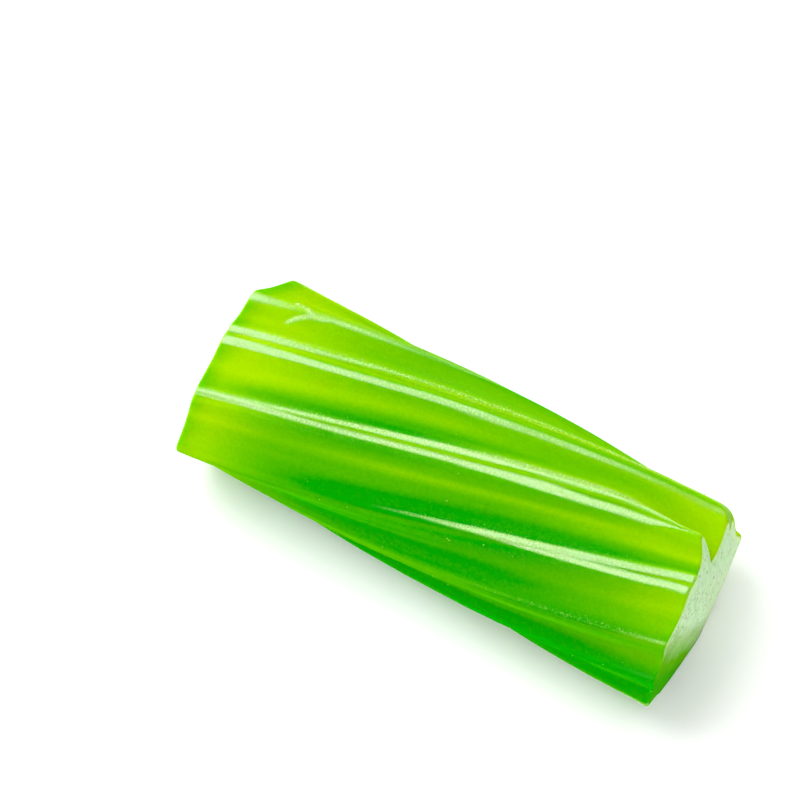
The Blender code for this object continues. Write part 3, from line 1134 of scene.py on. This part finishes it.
@dataclass(frozen=True)
class JellyFinish:
    """Fruit licorice: starch jelly, extruded through a fluted die and glazed with a little oil.

    It is cloudy and lets light in. Its glow where a flute is thin, its deep green beside the ribs and on its
    underside, and its lighter beads are painted light and shade in its colour. The oil lies on the beads of
    the ribs, which shine, while the flutes and the cuts stay matt; pale glints are painted on the oiled
    beads. The knife leaves a frosty bloom on the cuts, with pits and faint strokes in it; their paler upper
    part is partly painted sheen, their deeper foot painted shade and their lit rim painted light.
    """

    # the green's ramp for the tone, from painted shade to painted light
    deep: str = "03A401"
    common: str = "6CC201"
    light: str = "AEE001"
    wet: str = "80C204"  # under the oil
    # sugar dust, and painted glints on the oiled beads
    speckle: str = "C8EA78"
    frosty: str = "CBFAB8"  # the cut, from its pale upper part, a frosty bloom with painted sheen, down to its foot, deeper green as painted shade
    half_frosty: str = "9ACC76"
    bare: str = "56A808"
    foot_shade: str = "2E9A06"
    pit: str = "78B048"
    # painted light along the rim of the cuts
    rim: str = "D4F48E"
    frost_depths: tuple[float, ...] = (-3.1 * MM, -1.5 * MM, 0.7 * MM, 2.8 * MM)  # towards the foot, where the painted shade deepens
    shade_side: Triple = (0.0, -0.87, -0.5)
    waver_size: float = 1.7 * MM
    waver_reach: float = 2.5 * MM  # how unevenly the bloom and its painted sheen thin out towards the painted shade
    stroke_size: float = 0.9 * MM
    stroke_stretch: Triple = (1.0, 3.0, 0.5)
    stroke_levels: Pair = (0.45, 0.65)  # of the noise, between which a stroke sets in
    stroke_strength: float = 0.35
    pit_size: float = 0.42 * MM
    pit_share: float = 0.35  # how many of the cells hold a pit
    pit_edge: Pair = (0.45, 0.2)  # shares of a cell, from outside a pit to well inside it
    pit_strength: float = 0.6
    rim_light_rings: Pair = (0.9, 0.99)  # ring marks between which the painted light along the cut's rim sets in
    rim_light_strength: float = 0.75
    side_rings: Pair = (0.985, SIDE_RING)  # ring marks between which the cut gives way to the side
    streak: float = 0.15  # how unevenly the green runs along the stick, in tone
    streak_stretch: Triple = (9.0, 9.0, 2.2)
    mottle: float = 0.09
    mottle_size: float = 0.42 * MM
    grain_size: float = 0.2 * MM  # the real grain is about half of that, too fine to draw
    grain_height: float = 0.02 * MM
    cut_height: float = 0.06 * MM
    side_bump: float = 0.15  # how much of the cut's crumbly relief the side has
    wet_strength: float = 0.8
    dust_wear: float = 0.12  # how much sooner the oil has worn off where there is dust
    worn_levels: Pair = (0.62, 0.44)  # of the grain, between which the oil has worn off
    worn_gloss: float = 0.45  # what is left of the gloss there
    speckle_levels: Pair = (0.5, 0.66)  # of the grain, between which a speckle sets in
    speckle_strength: float = 0.9
    painted_glint_share: float = 0.45  # painted glints: how much of the speckle is painted on the oiled beads
    roughness: float = 0.6
    coat_roughness: float = 0.2
    coat_index: float = 1.6
    scatter_radius: Triple = (0.5, 1.0, 0.2)
    scatter_scale: float = 1.2 * MM

    def cut_colour(
        self, tree: bpy.types.NodeTree, place: bpy.types.NodeSocket, ring: bpy.types.NodeSocket
    ) -> bpy.types.NodeSocket:
        """Colour the cuts: a frosty bloom with pits and strokes, pale on the upper part as partly painted
        sheen, deeper green towards the foot as painted shade, with painted light along the rim.

        Args:
            tree: the material's tree.
            place: the place on the stick.
            ring: how far from the cut's middle it is, 1 at the rim.

        Returns:
            The cut's colour.
        """
        waver = add(tree, "ShaderNodeTexNoise", place, 1 / self.waver_size, 3.0, 0.6)
        down = add(tree, "ShaderNodeVectorMath", place, self.shade_side, operation="DOT_PRODUCT")
        centred = add(tree, "ShaderNodeMath", waver, 0.5, operation="SUBTRACT")
        depth = add(tree, "ShaderNodeMath", centred, self.waver_reach, down, operation="MULTIPLY_ADD")
        thinner, thin, in_shade = (
            add(tree, "ShaderNodeMapRange", depth, above, below, 0.0, 1.0)
            for above, below in zip(self.frost_depths, self.frost_depths[1:])
        )
        strokes_place = add(tree, "ShaderNodeVectorMath", place, self.stroke_stretch, operation="MULTIPLY")
        strokes = add(tree, "ShaderNodeTexNoise", strokes_place, 1 / self.stroke_size, 3.0, 0.65)
        stroke = add(tree, "ShaderNodeMapRange", strokes, *self.stroke_levels, 0.0, self.stroke_strength)
        cells = add(tree, "ShaderNodeTexVoronoi", place, 1 / self.pit_size).node.outputs
        chosen = add(tree, "ShaderNodeSeparateColor", cells["Color"])
        sparse = add(tree, "ShaderNodeMath", chosen, self.pit_share, operation="LESS_THAN")
        near = add(tree, "ShaderNodeMapRange", cells["Distance"], *self.pit_edge, 0.0, self.pit_strength)
        pitted = add(tree, "ShaderNodeMath", sparse, near, operation="MULTIPLY")
        soft = {"interpolation_type": "SMOOTHSTEP"}
        painted_rim_light = add(tree, "ShaderNodeMapRange", ring, *self.rim_light_rings, 0.0, self.rim_light_strength, **soft)
        bloom = linear(self.frosty)
        for share, colour in (
            (thinner, self.half_frosty),
            (stroke, self.half_frosty),
            (pitted, self.pit),
            (painted_rim_light, self.rim),
            (thin, self.bare),
            (in_shade, self.foot_shade),
        ):
            bloom = add(tree, "ShaderNodeMix", share, bloom, linear(colour), data_type="RGBA")
        return bloom

    def material(self) -> bpy.types.Material:
        """Make the material.

        Returns:
            The material of the stick.
        """
        made = bpy.data.materials.new("extruded_fruit_licorice_jelly")
        made.use_nodes = True
        tree = made.node_tree
        tree.nodes.clear()
        polish, painted_light_and_tone, ring, dust = (
            add(tree, "ShaderNodeAttribute", attribute_name=name).node.outputs["Fac"]
            for name in ("polish", "painted_light_and_tone", "ring", "dust")
        )
        soft = {"interpolation_type": "SMOOTHSTEP"}
        side = add(tree, "ShaderNodeMapRange", ring, *self.side_rings, 0.0, 1.0, **soft)
        place = add(tree, "ShaderNodeTexCoord").node.outputs["Object"]
        drawn = add(tree, "ShaderNodeAttribute", attribute_name="blank_place").node.outputs["Vector"]
        drawn_out = add(tree, "ShaderNodeVectorMath", drawn, self.streak_stretch, operation="MULTIPLY")
        streaks = add(tree, "ShaderNodeTexNoise", drawn_out, 1.0, 3.0, 0.55)
        mottle = add(tree, "ShaderNodeTexNoise", place, 1 / self.mottle_size, 3.0, 0.6)
        grain = add(tree, "ShaderNodeTexNoise", place, 1 / self.grain_size, 2.0, 0.6)
        for noise, depth in ((streaks, self.streak), (mottle, self.mottle), (grain, self.mottle)):
            level = add(tree, "ShaderNodeMath", noise, 0.5, operation="SUBTRACT")
            painted_light_and_tone = add(tree, "ShaderNodeMath", level, 2 * depth, painted_light_and_tone, operation="MULTIPLY_ADD")
        above = add(tree, "ShaderNodeMapRange", painted_light_and_tone, 0.5, 1.0, 0.0, 1.0)
        below = add(tree, "ShaderNodeMapRange", painted_light_and_tone, 0.0, 0.5, 0.0, 1.0)
        grainy = add(tree, "ShaderNodeMath", dust, self.dust_wear, grain, operation="MULTIPLY_ADD")
        worn = add(tree, "ShaderNodeMapRange", grainy, *self.worn_levels, self.worn_gloss, 1.0)
        oiled = add(tree, "ShaderNodeMath", polish, side, operation="MULTIPLY")
        gloss = add(tree, "ShaderNodeMath", oiled, worn, operation="MULTIPLY")
        wetness = add(tree, "ShaderNodeMath", oiled, self.wet_strength, operation="MULTIPLY")
        fine = add(tree, "ShaderNodeMapRange", grain, *self.speckle_levels, 0.0, self.speckle_strength)
        clamped = {"operation": "MULTIPLY_ADD", "use_clamp": True}
        # Speckles where there is dust, and painted glints on the oiled beads
        dust_and_glints = add(tree, "ShaderNodeMath", oiled, self.painted_glint_share, dust, **clamped)
        dust_and_glint_specks = add(tree, "ShaderNodeMath", fine, dust_and_glints, operation="MULTIPLY")
        # Painted shade to painted light along the green's ramp, then the oil's colour, the dust and the
        # painted glints
        green = linear(self.deep)
        for share, colour in (
            (below, self.common),
            (above, self.light),
            (wetness, self.wet),
            (dust_and_glint_specks, self.speckle),
        ):
            green = add(tree, "ShaderNodeMix", share, green, linear(colour), data_type="RGBA")
        base = add(tree, "ShaderNodeMix", side, self.cut_colour(tree, place, ring), green, data_type="RGBA")
        shader = tree.nodes.new("ShaderNodeBsdfPrincipled")
        tree.links.new(base, shader.inputs["Base Color"])
        tree.links.new(gloss, shader.inputs["Coat Weight"])
        bump = add(tree, "ShaderNodeBump", 1.0, self.grain_height, None, grain)
        tree.links.new(bump, shader.inputs["Coat Normal"])
        on_cut = add(tree, "ShaderNodeMapRange", side, 0.0, 1.0, 1.0, self.side_bump)
        crumbly = add(tree, "ShaderNodeBump", on_cut, self.cut_height, None, mottle)
        tree.links.new(crumbly, shader.inputs["Normal"])
        values = {
            "Roughness": self.roughness,
            "Specular IOR Level": 0.0,
            "Coat Roughness": self.coat_roughness,
            "Coat IOR": self.coat_index,
            "Subsurface Weight": 1.0,
            "Subsurface Radius": self.scatter_radius,
            "Subsurface Scale": self.scatter_scale,
        }
        for name, value in values.items():
            shader.inputs[name].default_value = value
        add(tree, "ShaderNodeOutputMaterial", shader.outputs["BSDF"])
        return made


@dataclass(frozen=True)
class FloorFinish:
    """Matt opal acrylic over a dim light table, which keeps the floor white and its shadow soft and pale."""

    colour: str = "EBEBEB"
    roughness: float = 0.7
    glow: float = 0.18  # what the camera sees of the table's light

    def material(self) -> bpy.types.Material:
        """Make the material.

        Returns:
            The material of the floor.
        """
        made = bpy.data.materials.new("matt_opal_acrylic")
        made.use_nodes = True
        shader = made.node_tree.nodes["Principled BSDF"]
        shader.inputs["Base Color"].default_value = linear(self.colour)
        shader.inputs["Roughness"].default_value = self.roughness
        shader.inputs["Emission Color"].default_value = linear("FFFFFF")
        seen = add(made.node_tree, "ShaderNodeLightPath").node.outputs["Is Camera Ray"]
        glow = add(made.node_tree, "ShaderNodeMath", seen, self.glow, operation="MULTIPLY")
        made.node_tree.links.new(glow, shader.inputs["Emission Strength"])
        return made


@dataclass
class Softbox:
    """A softbox over the stick, given by the direction that it stands in."""

    name: str
    azimuth: float  # degrees from +Y towards +X
    elevation: float
    distance: float
    width: float
    depth: float
    radiance: float
    shines: bool = True  # whether it lights the scene
    shows: bool = True  # whether glossy surfaces mirror it

    def build(self, target: Vector) -> None:
        """Hang the softbox.

        Args:
            target: the point that it faces.
        """
        light = bpy.data.lights.new(self.name, "AREA")
        light.shape = "RECTANGLE"
        light.size, light.size_y = self.width, self.depth
        light.energy = self.radiance * math.pi * self.width * self.depth
        lamp = new_object(self.name, light)
        turn, rise = math.radians(self.azimuth), math.radians(self.elevation)
        towards = Vector((math.sin(turn) * math.cos(rise), math.cos(turn) * math.cos(rise), math.sin(rise)))
        lamp.location = target + towards * self.distance
        lamp.rotation_euler = towards.to_track_quat("Z", "Y").to_euler()
        lamp.visible_camera = False
        lamp.visible_diffuse = self.shines
        lamp.visible_transmission = self.shines
        lamp.visible_glossy = self.shows


SOFTBOXES = (
    Softbox("key_softbox", -95, 62, 0.7, 0.45, 0.45, 6.05, shows=False),
    Softbox("overhead_panel", -90, 83, 0.6, 2.1, 1.1, 8.5, shines=False),
    Softbox("back_panel", -15, 16, 1.0, 1.4, 0.6, 3.0, shines=False),
    Softbox("front_panel", 190, 22, 1.0, 1.5, 0.5, 4.5, shines=False),
)


@dataclass
class Studio:
    """The white floor, the soft light and the camera."""

    image_side: int = 800  # pixels
    middle_height: float = 7.9 * MM
    azimuth: float = 30.1  # degrees: 0 looks along +Y
    elevation: float = 64.4
    distance: float = 0.42
    middle_at: Pair = (463.2, 486.0)  # where the stick's middle lies in the picture, in pixels
    scale: float = 11460.0  # pixels for each metre at the stick's middle
    sensor: float = 36.0
    floor_side: float = 6.0
    fill: float = 0.55  # what the cyclorama lights the scene with, where the camera sees it at 1
    mirrored_fill: float = 0.2  # and what glossy surfaces mirror of it

    def camera(self) -> None:
        """Set up the camera so that the stick's middle falls on its pixel, with no shift."""
        turn, rise = math.radians(self.azimuth), math.radians(self.elevation)
        back = Vector((math.sin(turn) * math.cos(rise), -math.cos(turn) * math.cos(rise), math.sin(rise)))
        right = Vector((math.cos(turn), math.sin(turn), 0))
        up = back.cross(right)
        from_left, from_top = (place - self.image_side / 2 for place in self.middle_at)
        data = bpy.data.cameras.new("camera")
        data.sensor_width = self.sensor
        data.lens = self.scale * self.distance * self.sensor / self.image_side
        camera = new_object("camera", data)
        camera.location = (
            Vector((0, 0, self.middle_height))
            + back * self.distance
            - right * (from_left / self.scale)
            + up * (from_top / self.scale)
        )
        camera.rotation_euler = back.to_track_quat("Z", "Y").to_euler()
        bpy.context.scene.camera = camera

    def floor(self) -> None:
        """Lay the floor under the stick."""
        half = self.floor_side / 2
        mesh = bpy.data.meshes.new("floor")
        corners = [(-half, -half, 0), (half, -half, 0), (half, half, 0), (-half, half, 0)]
        mesh.from_pydata(corners, [], [(0, 1, 2, 3)])
        mesh.materials.append(FloorFinish().material())
        floor = new_object("floor", mesh)

    def lights(self) -> None:
        """Hang the softboxes."""
        for softbox in SOFTBOXES:
            softbox.build(Vector((0, 0, self.middle_height)))

    def world(self) -> None:
        """Surround the scene with a white cyclorama, bright to look at and dim in reflections."""
        world = bpy.data.worlds.new("cyclorama")
        world.use_nodes = True
        tree = world.node_tree
        tree.nodes.clear()
        rays = add(tree, "ShaderNodeLightPath").node.outputs
        fills = (self.fill, self.mirrored_fill)
        fill = add(tree, "ShaderNodeMix", rays["Is Glossy Ray"], *fills, data_type="FLOAT")
        strength = add(tree, "ShaderNodeMix", rays["Is Camera Ray"], fill, 1.0, data_type="FLOAT")
        add(tree, "ShaderNodeOutputWorld", add(tree, "ShaderNodeBackground", (1.0, 1.0, 1.0, 1.0), strength))
        bpy.context.scene.world = world

    def build(self) -> None:
        """Set up the studio."""
        self.camera()
        self.floor()
        self.lights()
        self.world()
        bpy.context.scene.view_settings.view_transform = "Standard"


def report(piece: bpy.types.Object) -> None:
    """Log a finished piece's name and its number of triangles."""
    piece.data.calc_loop_triangles()
    LOG.info("%s: %d triangles", piece.name, len(piece.data.loop_triangles))


def main() -> None:
    """Build the studio and the stick."""
    logging.basicConfig(level=logging.INFO, format="%(name)s %(message)s")
    Studio().build()
    stick = LicoriceStick(RibOutline()).build(JellyFinish().material())
    grains = FineGrains().build(stick, GrainFinish().material())
    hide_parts(NODE)
    for piece in (stick, grains):
        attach(piece, BODY)
        report(piece)


if __name__ == "__main__":
    main()
